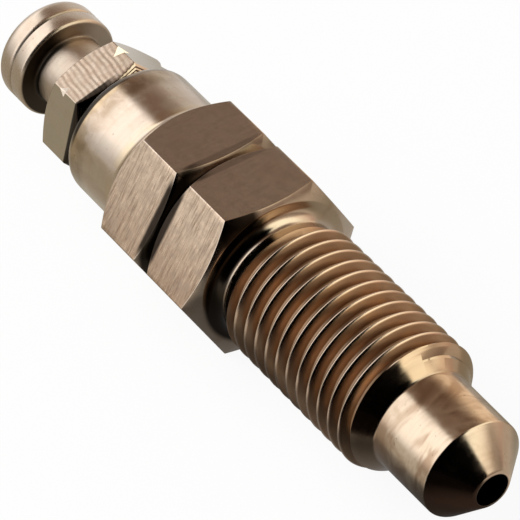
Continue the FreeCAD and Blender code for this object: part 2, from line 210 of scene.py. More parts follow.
# Shapes
def hex_radius(theta, flat, turn, corner_round):
    """Distance from the axis to a hexagon with rounded corners, in each direction."""
    off_flat = (theta - turn + HALF_SECTOR) % SECTOR - HALF_SECTOR
    radius = flat / np.cos(np.radians(off_flat))
    half_sector = math.radians(HALF_SECTOR)
    centre = (flat - corner_round) / math.cos(half_sector)
    off_corner = np.radians((theta - turn) % SECTOR - HALF_SECTOR)
    side = centre * np.sin(off_corner)
    inside = corner_round ** 2 - side ** 2
    arc = centre * np.cos(off_corner) + np.sqrt(np.maximum(inside, 0.0))
    touch = math.atan2(
        corner_round * math.sin(half_sector),
        centre + corner_round * math.cos(half_sector),
    )
    return np.where(np.abs(off_corner) < touch, np.minimum(radius, arc), radius)


def directions(step, first_corner, spread):
    """Angles all round, with extra ones beside each corner of a hexagon."""
    angles = set(np.round(np.arange(0.0, 360.0, step), ANGLE_DIGITS))
    for corner in np.arange(first_corner, 360.0, SECTOR):
        for offset in spread:
            angles.add(round((corner + offset) % 360.0, ANGLE_DIGITS))
            angles.add(round((corner - offset) % 360.0, ANGLE_DIGITS))
    return np.array(sorted(angles))


BIG_THETA = directions(step=1.25, first_corner=0.0, spread=(0.3, 0.6))
SMALL_THETA = directions(step=0.75, first_corner=SMALL_CORNER, spread=(0.0, 0.2, 0.45))


def rounded_profile(points, count, closed):
    """Round the corners of a half section, in all its directions at once.

    A point is (x, r) where it is sharp, or else (x, r, setback, segments). x and
    r are numbers or one value for each of count directions. A fifth value is the
    material of the surface after the point, which is otherwise the turned metal."""
    xs = [np.broadcast_to(np.asarray(point[0], float), (count,)) for point in points]
    rs = [np.broadcast_to(np.asarray(point[1], float), (count,)) for point in points]
    corners = [np.stack(pair, 1) for pair in zip(xs, rs)]
    rows = []
    materials = []
    last = len(points) - 1
    for i, point in enumerate(points):
        setback, segments = point[2:4] or (0, 0)
        material = point[4] if len(point) > 4 else TURNED
        here = corners[i]
        if setback == 0 or (not closed and i in (0, last)):
            rows.append(here)
            materials.append(material)
            continue
        before = corners[i - 1] - here
        after = corners[(i + 1) % len(points)] - here
        reach_before = np.linalg.norm(before, axis=1, keepdims=True)
        reach_after = np.linalg.norm(after, axis=1, keepdims=True)
        start = here + before / reach_before * np.minimum(setback, ROUND_SHARE * reach_before)
        end = here + after / reach_after * np.minimum(setback, ROUND_SHARE * reach_after)
        for s in np.linspace(0.0, 1.0, segments + 1):
            rows.append((1 - s) ** 2 * start + 2 * s * (1 - s) * here + s ** 2 * end)
        materials += [TURNED] * segments + [material]
    grid = np.stack(rows, 1)
    return grid[:, :, 0], grid[:, :, 1], materials


class Shell:
    """A piece's surface, built from points at (x, r) in each of its directions."""

    def __init__(self, name, theta):
        self.name = name
        self.theta = theta
        self.bm = bmesh.new()

    def vertices(self, x, r):
        angle = np.radians(self.theta)[:, None]
        x = (x + STATION_SHIFT) * MM
        y = r * np.cos(angle) * MM
        z = (r * np.sin(angle) + AXIS_HEIGHT) * MM
        return [
            [self.bm.verts.new((x[i, j], y[i, j], z[i, j])) for j in range(x.shape[1])]
            for i in range(x.shape[0])
        ]

    def rings(self, x, r, materials, shift=0, closed=False):
        """Join neighbouring points by faces. A shift joins the seam further along."""
        grid = self.vertices(x, r)
        around, along = x.shape
        for i in range(around):
            here = grid[i]
            there = grid[(i + 1) % around]
            step = shift if i == around - 1 else 0
            for j in range(along if closed else along - 1):
                k = (j + 1) % along
                if not closed and k + step >= along:
                    break
                face = self.bm.faces.new((here[j], there[j + step], there[k + step], here[k]))
                face.material_index = materials[j]

    def lathe(self, points, closed=False):
        """Add the surface that a half section makes round the axis."""
        x, r, materials = rounded_profile(points, len(self.theta), closed)
        self.rings(x, r, materials, closed=closed)

    def finish(self, body, slot, nodes, materials):
        bmesh.ops.remove_doubles(self.bm, verts=self.bm.verts, dist=MERGE_M)
        bmesh.ops.dissolve_degenerate(self.bm, edges=self.bm.edges, dist=SHORTEST_M)
        bmesh.ops.recalc_face_normals(self.bm, faces=self.bm.faces)
        for edge in self.bm.edges:
            if edge.calc_face_angle(0.0) > CREASE:
                edge.smooth = False
        mesh = bpy.data.meshes.new(self.name)
        self.bm.to_mesh(mesh)
        self.bm.free()
        for face in mesh.polygons:
            face.use_smooth = True
        piece = bpy.data.objects.new(self.name, mesh)
        scene.collection.objects.link(piece)
        for material in materials:
            mesh.materials.append(material)
        normals = piece.modifiers.new("even_normals", "WEIGHTED_NORMAL")
        normals.keep_sharp = True
        normals.weight = LARGE_FACE_WEIGHT
        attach(piece, body)
        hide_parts(*nodes)


def thread_offsets():
    """Points across one turn of the thread: distance along, and depth below the crest."""
    depth = CREST_RADIUS - ROOT_RADIUS
    half = PITCH / 2
    shape = [*CREST_SHAPE, (half - ROOT_ROUND[0], depth - ROOT_ROUND[1])]
    mirrored = [(PITCH - along, down) for along, down in shape[:0:-1]]
    return shape + [(half, depth)] + mirrored


def thread_envelope(x):
    """Radius that the thread is cut down to at its run-out and its lead-in chamfer."""
    run_out = THREAD_START_RADIUS + np.maximum(x - THREAD_START, 0.0)
    lead_in = CREST_RADIUS - np.maximum(x - LEAD_IN, 0.0)
    return np.minimum(run_out, lead_in)


def thread_rows(theta):
    """Rows of points that follow the helix, and how many of them make one turn."""
    along, down = np.array(thread_offsets()).T
    first = math.floor((THREAD_START - PHASE) / PITCH) - TURNS_BEFORE
    count = math.ceil((THREAD_END - THREAD_START) / PITCH) + SPARE_TURNS
    turns = np.arange(first, first + count)
    offsets = (turns[:, None] * PITCH + along[None, :]).ravel()
    crest = PHASE + PITCH * (theta - PHASE_TURN) / 360.0
    x = crest[:, None] + offsets[None, :]
    r = CREST_RADIUS - np.broadcast_to(np.tile(down, count), x.shape)
    inside = (x > THREAD_START) & (x < THREAD_END)
    x = np.clip(x, THREAD_START, THREAD_END)
    r = np.where(inside, r, OUTSIDE_RADIUS)
    return x, np.minimum(r, thread_envelope(x)), len(along)


# Materials: metallic value, colours, and bands along the axis as first and
# last station with the softness of their ends
METAL = 1.0
NOT_METAL = 0.0

PLATE = (0.465, 0.365, 0.275)
BROWN = (0.33, 0.215, 0.135)
OLIVE = (0.40, 0.36, 0.27)
STRAW = (0.50, 0.36, 0.20)
TINT = (0.25, 0.17, 0.10)
# Colour of the painted shade in crevices and in the tip's bore
CREVICE_SHADE = (0.012, 0.008, 0.005)
HEATED = (0.45, 0.335, 0.215)
STAINED = (0.26, 0.165, 0.10)
SCORCHED = (0.27, 0.18, 0.11)
PITTED = (0.14, 0.085, 0.05)
# Colour of the painted glint on the small hexagon's corner notch
NOTCH_GLINT = (0.66, 0.60, 0.50)
FLAT_TOP = (0.43, 0.375, 0.315)
FLAT_SIDE = (0.54, 0.385, 0.255)
GRAIN_DARK = (0.19, 0.12, 0.075)
GRAIN_LIGHT = (0.68, 0.51, 0.36)
MOTTLED = (0.27, 0.20, 0.15)
FLANK = (0.34, 0.212, 0.128)
FLANK_DARK = (0.235, 0.138, 0.078)
RUST = (0.42, 0.235, 0.115)
# Colour of the painted shade in the thread's roots
THREAD_ROOT_SHADE = (0.17, 0.095, 0.05)
CREST = (0.47, 0.345, 0.25)
CHAMFER = (0.52, 0.40, 0.28)

PILOT_BAND = (15.6, 20.45, 0.15)
PILOT_SHOULDER_BAND = (15.7, 16.9, 0.35)
RELIEF_BAND = (1.30, 2.0, 0.12)
COLLAR_FILLET_BAND = (-10.7, -9.7, 0.35)
COLLAR_RIM_BAND = (-15.0, -14.0, 0.45)
COLLAR_TINT_BAND = (-15.1, -13.35, 0.40)
NOTCH_BAND = (-18.05, -17.0, 0.03)
NECK_BAND = (-22.0, -18.8, 0.2)

# Stations over which the thread's finish gives way to its lead-in chamfer's
LEAD_IN_FADE = (14.2, 14.5)

# Crevices with painted shade: the band, the radii over which it ends, the range
# of y over which it fades towards the far side, and how much of it is left there.
# They lie between the big hexagons, at the small one's front and at the head.
SHADED_CREVICES = (
    ((-5.25, -3.75, 0.12), (5.85, 6.30), (-2.9, -0.9), 0.30),
    ((-16.1, -15.22, 0.06), (4.55, 4.70), (-1.3, 0.2), 0.0),
    ((-22.3, -21.65, 0.12), (3.36, 3.50), (-1.2, 0.6), 0.35),
)
# Painted shade in the groove between the flanges, on the collar's rim by the small hexagon, in the
# relief and at the near front corner of the body's hexagon
SHADED_FLANGE_GROOVE = ((-23.46, -23.18, 0.03), (3.44, 3.54))
SHADED_RIM_BAND = (-15.34, -14.62, 0.05)
SHADED_RELIEF_BANDS = ((0.30, 1.14, 0.08), (1.42, 2.0, 0.05))
SHADED_CORNER_BAND = (-0.22, 0.6, 0.06)

# The Mix node's sockets when it mixes colours
MIX_FACTOR = 0
MIX_FIRST = 6
MIX_SECOND = 7
MIX_RESULT = 2

# How far a noise's offset moves it along x, y and z
NOISE_SHIFT = (1.0, 1.3, 0.7)


class Look:
    """A procedural material, built from nodes in the valve's own coordinates in mm."""

    def __init__(self, name, metallic):
        self.material = bpy.data.materials.new(name)
        self.material.use_nodes = True
        self.tree = self.material.node_tree
        self.shader = self.tree.nodes["Principled BSDF"]
        self.shader.inputs["Metallic"].default_value = metallic
        coordinates = self.tree.nodes.new("ShaderNodeTexCoord")
        mapping = self.tree.nodes.new("ShaderNodeMapping")
        mapping.inputs["Scale"].default_value = (1.0 / MM, 1.0 / MM, 1.0 / MM)
        mapping.inputs["Location"].default_value = (-STATION_SHIFT, 0.0, -AXIS_HEIGHT)
        self.tree.links.new(coordinates.outputs["Object"], mapping.inputs["Vector"])
        self.place = mapping.outputs["Vector"]
        self.normal = self.parts(coordinates.outputs["Normal"])
        self.x, self.y, self.z = self.parts(self.place)
        squares = self.add(self.math("POWER", self.y, 2.0), self.math("POWER", self.z, 2.0))
        self.radius = self.math("SQRT", squares)

    def put(self, socket, value):
        """Link a socket to the value, or set it where the value is a number or colour."""
        if isinstance(value, bpy.types.NodeSocket):
            self.tree.links.new(value, socket)
        elif isinstance(value, tuple):
            socket.default_value = (*value, 1.0)
        else:
            socket.default_value = value

    def parts(self, vector):
        node = self.tree.nodes.new("ShaderNodeSeparateXYZ")
        self.tree.links.new(vector, node.inputs[0])
        return node.outputs[0], node.outputs[1], node.outputs[2]

    def math(self, operation, first, second=0.0):
        node = self.tree.nodes.new("ShaderNodeMath")
        node.operation = operation
        self.put(node.inputs[0], first)
        self.put(node.inputs[1], second)
        return node.outputs[0]

    def chain(self, operation, first, others):
        for other in others:
            first = self.math(operation, first, other)
        return first

    def add(self, first, *others):
        return self.chain("ADD", first, others)

    def times(self, first, *others):
        return self.chain("MULTIPLY", first, others)

    def largest(self, first, *others):
        return self.chain("MAXIMUM", first, others)

    def rise(self, value, low, high, start=0.0, end=1.0):
        """A smooth change from start to end as the value goes from low to high."""
        node = self.tree.nodes.new("ShaderNodeMapRange")
        node.interpolation_type = "SMOOTHSTEP"
        self.put(node.inputs["Value"], value)
        node.inputs["From Min"].default_value = low
        node.inputs["From Max"].default_value = high
        node.inputs["To Min"].default_value = start
        node.inputs["To Max"].default_value = end
        return node.outputs["Result"]

    def fall(self, value, low, high, start=1.0, end=0.0):
        """The same as rise, but it goes down where start and end aren't given."""
        return self.rise(value, low, high, start, end)

    def noise(self, scales, detail, roughness, distortion=0.0, offset=0.0):
        """Noise whose scales are in features per mm along x, y and z."""
        mapping = self.tree.nodes.new("ShaderNodeMapping")
        mapping.inputs["Scale"].default_value = scales
        mapping.inputs["Location"].default_value = [offset * shift for shift in NOISE_SHIFT]
        self.tree.links.new(self.place, mapping.inputs["Vector"])
        node = self.tree.nodes.new("ShaderNodeTexNoise")
        self.tree.links.new(mapping.outputs[0], node.inputs["Vector"])
        node.inputs["Scale"].default_value = 1.0
        node.inputs["Detail"].default_value = detail
        node.inputs["Roughness"].default_value = roughness
        node.inputs["Distortion"].default_value = distortion
        return node.outputs[0]

    def mix(self, factor, first, second):
        node = self.tree.nodes.new("ShaderNodeMix")
        node.data_type = "RGBA"
        self.put(node.inputs[MIX_FACTOR], factor)
        self.put(node.inputs[MIX_FIRST], first)
        self.put(node.inputs[MIX_SECOND], second)
        return node.outputs[MIX_RESULT]

    def facing(self, angles, low, high):
        """Mask for surfaces that face any of these angles round the axis."""
        dots = []
        for angle in angles:
            turn = math.radians(angle)
            across = self.times(self.normal[1], math.cos(turn))
            upward = self.times(self.normal[2], math.sin(turn))
            dots.append(self.add(across, upward))
        return self.rise(self.largest(*dots), low, high)

    def band(self, value, low, high, soft):
        """1 between low and high, and 0 outside them."""
        into = self.rise(value, low - soft, low + soft)
        out = self.fall(value, high - soft, high + soft)
        return self.times(into, out)

    def recess(self, band, radii):
        """Mask for a crevice in a band along the axis, fading out over the radii."""
        deep = self.fall(self.radius, *radii)
        return self.times(self.band(self.x, *band), deep)

    def bump(self, height, depth, under=None):
        """Bumps of a depth in mm, on top of those of the normal under them."""
        node = self.tree.nodes.new("ShaderNodeBump")
        node.inputs["Distance"].default_value = depth * MM
        self.tree.links.new(height, node.inputs["Height"])
        if under is not None:
            self.tree.links.new(under, node.inputs["Normal"])
        return node.outputs[0]

    def finish(self, colour, roughness, normal):
        self.put(self.shader.inputs["Base Color"], colour)
        self.put(self.shader.inputs["Roughness"], roughness)
        self.tree.links.new(normal, self.shader.inputs["Normal"])
        return self.material


def weathered(look, colour):
    """Stains, straw-coloured heat tints and brown bands that all the plated metal shares."""
    clouds = look.noise((0.32, 0.55, 0.55), detail=4.0, roughness=0.6, distortion=0.6)
    patches = look.noise((0.7, 0.8, 0.8), detail=3.0, roughness=0.55, distortion=0.2, offset=31.0)
    stain = look.noise((0.60, 0.27, 0.27), detail=3.0, roughness=0.55, distortion=0.5, offset=7.0)
    colour = look.mix(look.rise(clouds, 0.46, 0.72, end=0.42), colour, BROWN)
    colour = look.mix(look.rise(patches, 0.50, 0.75, end=0.35), colour, OLIVE)

    pilot = look.band(look.x, *PILOT_BAND)
    colour = look.mix(look.times(pilot, 0.5), colour, HEATED)
    colour = look.mix(look.times(pilot, look.rise(stain, 0.42, 0.60, end=0.95)), colour, STAINED)
    shoulder = look.times(
        look.band(look.x, *PILOT_SHOULDER_BAND),
        look.rise(patches, 0.38, 0.62, start=0.05, end=0.50),
        look.fall(look.y, -0.6, 1.2, end=0.3),
    )
    colour = look.mix(shoulder, colour, SCORCHED)

    fillet = look.band(look.x, *COLLAR_FILLET_BAND)
    fillet = look.times(fillet, look.rise(patches, 0.38, 0.62, start=0.05, end=0.6))
    colour = look.mix(fillet, colour, STRAW)
    rim = look.times(look.band(look.x, *COLLAR_RIM_BAND), look.rise(stain, 0.40, 0.58, end=0.75))
    colour = look.mix(rim, colour, STRAW)
    tint = look.band(look.x, *COLLAR_TINT_BAND)
    tint = look.times(tint, look.rise(patches, 0.36, 0.60, start=0.25, end=0.75))
    return look.mix(tint, colour, TINT)


def add_crevice_shade(look, colour):
    """Painted shade in the crevices and in the tip's bore, most of it on the near side."""
    crevices = []
    for band, radii, fade, left in SHADED_CREVICES:
        crevices.append(look.times(look.recess(band, radii), look.fall(look.y, *fade, end=left)))
    groove = look.times(look.recess(*SHADED_FLANGE_GROOVE), 0.55)
    rim = look.times(
        look.band(look.x, *SHADED_RIM_BAND),
        look.fall(look.y, -1.2, 0.2, end=0.35),
        look.rise(look.z, 0.6, 2.4),
    )
    relief = look.times(
        look.largest(*(look.band(look.x, *band) for band in SHADED_RELIEF_BANDS)),
        look.fall(look.y, -1.0, -0.35),
        look.fall(look.radius, 4.85, 5.2),
    )
    corner = look.times(
        look.band(look.y, -3.7, -1.1, 0.35),
        look.band(look.x, *SHADED_CORNER_BAND),
        look.rise(look.z, 3.0, 3.6),
        look.rise(look.normal[0], 0.15, 0.35),
    )
    bore = look.times(look.fall(look.radius, 1.12, 1.15), look.rise(look.x, 9.5, 10.0))
    darkest_shade = look.largest(*crevices, groove, rim, relief, corner, bore)
    return look.mix(look.times(darkest_shade, 0.95), colour, CREVICE_SHADE)


def turned_metal():
    """Plated metal off the lathe, with fine lines round it and a scratched neck."""
    look = Look("turned_nickel", METAL)
    lines = look.noise((5.0, 0.10, 0.10), detail=3.0, roughness=0.6)
    fine = look.noise((14.0, 0.25, 0.25), detail=1.0, roughness=0.5, offset=5.0)
    pits = look.noise((4.2, 4.2, 4.2), detail=1.0, roughness=0.5, offset=17.0)
    worn = look.noise((0.9, 0.9, 0.9), detail=3.0, roughness=0.6, offset=11.0)
    scratches = look.noise((1.6, 0.9, 0.9), detail=5.0, roughness=0.75, distortion=0.6, offset=19.0)
    neck = look.band(look.x, *NECK_BAND)

    colour = weathered(look, PLATE)
    colour = look.mix(look.rise(lines, 0.35, 0.75, end=0.14), colour, BROWN)
    colour = look.mix(look.rise(pits, 0.745, 0.785, end=0.55), colour, PITTED)
    colour = look.mix(look.times(look.band(look.x, *RELIEF_BAND), 0.8), colour, BROWN)
    # Painted glint: the notch round the small hexagon's corners is lighter, most on the far side
    notch_glint = look.band(look.x, *NOTCH_BAND)
    notch_glint = look.times(notch_glint, look.rise(look.y, -2.0, 0.5, start=0.15, end=0.85))
    colour = look.mix(notch_glint, colour, NOTCH_GLINT)
    colour = add_crevice_shade(look, colour)

    # The cone is smoothest, and the flanges and the neck are dullest
    dull = look.add(
        look.fall(look.x, 20.3, 20.6, start=0.04),
        look.fall(look.x, -22.1, -21.9, start=0.09),
        look.times(neck, 0.16),
    )
    roughness = look.add(
        look.rise(worn, 0.35, 0.7, start=0.10, end=0.19),
        look.rise(lines, 0.3, 0.8, end=0.06),
        dull,
    )
    normal = look.bump(lines, 0.0022)
    normal = look.bump(fine, 0.0008, under=normal)
    normal = look.bump(look.times(scratches, neck), 0.016, under=normal)
    return look.finish(colour, roughness, normal)


def flat_metal():
    """Drawn bar: cross grain on the side flats, nearly smooth above and below."""
    look = Look("drawn_flats", METAL)
    grain = look.noise((7.0, 0.60, 0.60), detail=5.0, roughness=0.72, distortion=0.7, offset=3.0)
    hair = look.noise((12.0, 1.1, 1.1), detail=3.0, roughness=0.65, distortion=0.5, offset=9.0)
    mottle = look.noise((1.1, 1.6, 1.6), detail=5.0, roughness=0.7, distortion=0.3, offset=23.0)
    sideways = look.rise(look.math("ABSOLUTE", look.normal[1]), 0.2, 0.8)

    colour = look.mix(0.5, weathered(look, PLATE), FLAT_TOP)
    colour = look.mix(look.times(sideways, 0.8), colour, FLAT_SIDE)
    lower = look.fall(look.z, -0.6, 4.8)
    lower = look.times(lower, look.rise(look.x, -4.6, -4.2, start=0.8))
    colour = look.mix(look.times(sideways, lower), colour, BROWN)
    dark = look.times(look.rise(grain, 0.44, 0.66), look.add(look.times(sideways, 0.70), 0.16))
    colour = look.mix(dark, colour, GRAIN_DARK)
    light = look.times(look.rise(hair, 0.50, 0.70), look.add(look.times(sideways, 0.38), 0.12))
    colour = look.mix(light, colour, GRAIN_LIGHT)
    colour = look.mix(look.rise(mottle, 0.40, 0.66, end=0.42), colour, MOTTLED)
    colour = add_crevice_shade(look, colour)

    roughness = look.rise(mottle, 0.3, 0.7, start=0.15, end=0.26)
    roughness = look.add(roughness, look.times(sideways, 0.10))
    depth = look.times(grain, look.add(look.times(sideways, 0.75), 0.25))
    normal = look.bump(depth, 0.007)
    normal = look.bump(hair, 0.0014, under=normal)
    return look.finish(colour, roughness, normal)


def thread_metal():
    """Brown on the flanks, with painted shade in the roots, rubbed bright along the crest."""
    look = Look("rolled_thread", METAL)
    grain = look.noise((4.0, 0.35, 0.35), detail=3.0, roughness=0.6, distortion=0.4, offset=13.0)
    rust = look.noise((0.5, 0.6, 0.6), detail=3.0, roughness=0.6, distortion=0.3, offset=41.0)

    colour = look.mix(look.rise(grain, 0.35, 0.70, end=0.6), FLANK, FLANK_DARK)
    colour = look.mix(look.rise(rust, 0.50, 0.72, end=0.5), colour, RUST)
    # Painted shade: darker towards the thread's roots
    colour = look.mix(look.fall(look.radius, 4.09, 4.30, start=0.35), colour, THREAD_ROOT_SHADE)
    crest = look.times(look.rise(look.radius, 4.61, 4.67), look.fall(look.x, 13.9, 14.3))
    colour = look.mix(crest, colour, CREST)
    colour = look.mix(look.rise(look.x, *LEAD_IN_FADE, end=0.55), colour, CHAMFER)

    rubbed = look.rise(look.radius, 4.58, 4.66, end=0.14)
    polish = look.largest(rubbed, look.rise(look.x, *LEAD_IN_FADE, end=0.19))
    roughness = look.math("SUBTRACT", look.rise(grain, 0.3, 0.7, start=0.29, end=0.38), polish)
    return look.finish(colour, roughness, look.bump(grain, 0.003))


def ribbed_metal():
    """Small hexagon: brown lines along its ribs, and olive on the smooth flats."""
    look = Look("ribbed_nickel", METAL)
    lines = look.noise((3.0, 2.0, 2.0), detail=4.0, roughness=0.65, distortion=0.5, offset=2.0)
    ribs = look.facing(RIBBED_FLATS, 0.85, 0.93)

    colour = look.mix(look.fall(ribs, 0.0, 1.0, start=0.45), weathered(look, PLATE), OLIVE)
    brown = look.times(ribs, look.rise(lines, 0.25, 0.75, start=0.10, end=0.60))
    colour = add_crevice_shade(look, look.mix(brown, colour, BROWN))

    roughness = look.rise(ribs, 0.0, 1.0, start=0.17, end=0.30)
    roughness = look.add(roughness, look.rise(lines, 0.3, 0.7, end=0.08))
    return look.finish(colour, roughness, look.bump(lines, 0.003))


def inner_look(name, metallic, noise, spread, tones, roughness, depth):
    """A material for inside the valve, whose tone, roughness and bumps follow one
    noise. That is given as features per mm, detail, roughness and distortion."""
    look = Look(name, metallic)
    scale, *settings = noise
    cloud = look.noise((scale, scale, scale), *settings)
    colour = look.mix(look.rise(cloud, *spread), *tones)
    rough = look.rise(cloud, 0.3, 0.7, *roughness)
    return look.finish(colour, rough, look.bump(cloud, depth))


def rubber():
    return inner_look(
        "nitrile_rubber", NOT_METAL, noise=(6.0, 4.0, 0.6), spread=(0.4, 0.8),
        tones=((0.012, 0.012, 0.013), (0.035, 0.034, 0.033)), roughness=(0.42, 0.62), depth=0.004,
    )


def ball_steel():
    return inner_look(
        "bearing_steel", METAL, noise=(3.0, 4.0, 0.6), spread=(0.4, 0.7),
        tones=((0.60, 0.60, 0.61), (0.50, 0.50, 0.51)), roughness=(0.05, 0.12), depth=0.0003,
    )


def spring_steel():
    return inner_look(
        "spring_wire", METAL, noise=(9.0, 3.0, 0.6, 0.5), spread=(0.35, 0.7),
        tones=((0.42, 0.42, 0.43), (0.24, 0.24, 0.25)), roughness=(0.18, 0.32), depth=0.002,
    )


def seal_plastic():
    return inner_look(
        "seal_plastic", NOT_METAL, noise=(2.5, 4.0, 0.55), spread=(0.35, 0.7),
        tones=((0.78, 0.77, 0.73), (0.68, 0.66, 0.60)), roughness=(0.35, 0.48), depth=0.002,
    )


def dress(node_name, material):
    """Give a CAD node that is shown as it is a better material."""
    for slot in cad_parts[node_name].material_slots:
        slot.material = material


# Pieces
def build_valve_body(turned, flats, thread):
    shell = Shell("valve_body_skin", BIG_THETA)
    edge = hex_radius(BIG_THETA, BIG_FLAT, BIG_TURN, BIG_ROUND)
    rear_edge = BODY_REAR + (edge - FACE_RADIUS) * REAR_CHAMFER
    front_edge = BODY_FRONT - (edge - FACE_RADIUS) * FRONT_CHAMFER
    fillet = []
    for angle in np.radians(np.linspace(0.0, 90.0, FILLET_POINTS)):
        x = BODY_FRONT + RELIEF_FILLET * (1.0 - math.cos(angle))
        r = RELIEF_RADIUS + RELIEF_FILLET * (1.0 - math.sin(angle))
        fillet.append((x, r))
    shell.lathe([
        # O-ring bore
        (O_RING_BORE_END, INNER_THREAD_RADIUS),
        (O_RING_BORE_END, O_RING_BORE_RADIUS),
        (BODY_REAR, O_RING_BORE_RADIUS, 0.08, 2),
        # hexagon and relief
        (BODY_REAR, FACE_RADIUS, 0.06, 2),
        (rear_edge, edge, 0.05, 2, FLATS),
        (front_edge, edge, 0.05, 2),
        (BODY_FRONT, FACE_RADIUS, 0.05, 2),
        *fillet,
        (THREAD_START, THREAD_START_RADIUS),
    ])
    x, r, one_turn = thread_rows(BIG_THETA)
    shell.rings(x, r, [THREAD] * x.shape[1], shift=one_turn)
    shell.lathe([
        (THREAD_END, thread_envelope(THREAD_END), 0, 0, THREAD),
        # pilot, cone and the edge of the bore
        (15.64, 3.45, 0.10, 3),
        (20.49, 3.43, 0.08, 3),
        (22.46, 1.32, 0.12, 4),
        (22.50, TIP_BORE_RADIUS, 0.04, 2),
        # conical seat, chamber and inner thread
        (9.875, TIP_BORE_RADIUS),
        (8.30, CHAMBER_RADIUS),
        (CHAMBER_START, CHAMBER_RADIUS),
        (CHAMBER_START, INNER_THREAD_RADIUS),
        (O_RING_BORE_END, INNER_THREAD_RADIUS),
    ])
    shell.finish("body", "valve_body", ["valve_body"], [turned, flats, thread])


def build_bleed_screw(turned, flats):
    shell = Shell("bleed_screw_skin", BIG_THETA)
    edge = hex_radius(BIG_THETA, BIG_FLAT, BIG_TURN, BIG_ROUND)
    front_edge = SCREW_FRONT - (edge - FACE_RADIUS) * FRONT_CHAMFER
    rear_edge = COLLAR_FRONT + (edge - COLLAR_RADIUS) * SHOULDER_CHAMFER
    shell.lathe([
        # nose with its sealing cone
        (9.77, 0.0),
        (9.75, 1.22),
        (8.672, NOSE_RADIUS),
        (4.5, NOSE_RADIUS),
        # thread with a chamfer
        (4.5, 2.65),
        (4.2, STEM_THREAD_RADIUS),
        (0.4, STEM_THREAD_RADIUS),
        # stem with the O-ring's groove
        (0.4, STEM_RADIUS),
        (-1.60, STEM_RADIUS),
        (-1.60, O_RING_GROOVE_RADIUS),
        (-2.90, O_RING_GROOVE_RADIUS),
        (-2.90, STEM_RADIUS),
        (SCREW_FRONT, STEM_RADIUS),
        # hexagon and collar
        (SCREW_FRONT, FACE_RADIUS, 0.05, 2),
        (front_edge, edge, 0.05, 2, FLATS),
        (rear_edge, edge, 0.05, 2),
        (COLLAR_FRONT, COLLAR_RADIUS, 0.28, 4),
        (COLLAR_REAR, COLLAR_RADIUS, 0.78, 8),
        # socket, spring chamber, ball seat and passage
        (COLLAR_REAR, SOCKET_RADIUS, 0.05, 2),
        (SOCKET_END, SOCKET_RADIUS),
        (SOCKET_END, SPRING_CHAMBER_RADIUS),
        (-8.05, SPRING_CHAMBER_RADIUS),
        (-7.0, PASSAGE_RADIUS),
        (7.1, PASSAGE_RADIUS),
        (7.76, 0.0),
    ])
    shell.finish("screw", "bleed_screw", ["bleed_screw"], [turned, flats])


def rib_depth(theta, x):
    """Depth of the wavy ribs at each direction and station."""
    apart = 2.0 * SECTOR
    off_flat = (theta - RIBBED_FLATS[0] + apart / 2) % apart - apart / 2
    across = SMALL_FLAT * np.tan(np.radians(np.clip(off_flat, -HALF_SECTOR, HALF_SECTOR)))
    slow = 0.035 * np.sin(3.1 * x + 1.7 * across)
    quick = 0.012 * np.sin(7.0 * x - 2.3 * across)
    slant = 0.10 * x
    waver = slow + quick - slant
    groove = 0.5 - 0.5 * np.cos(2.0 * math.pi * (across + waver) / RIB_WIDTH)
    unequal = 0.75 + 0.25 * np.sin(4.3 * across + 0.8)
    inside = np.clip((RIB_LIMIT - np.abs(off_flat)) / RIB_FADE, 0.0, 1.0)
    return RIB_DEPTH * groove * unequal * inside


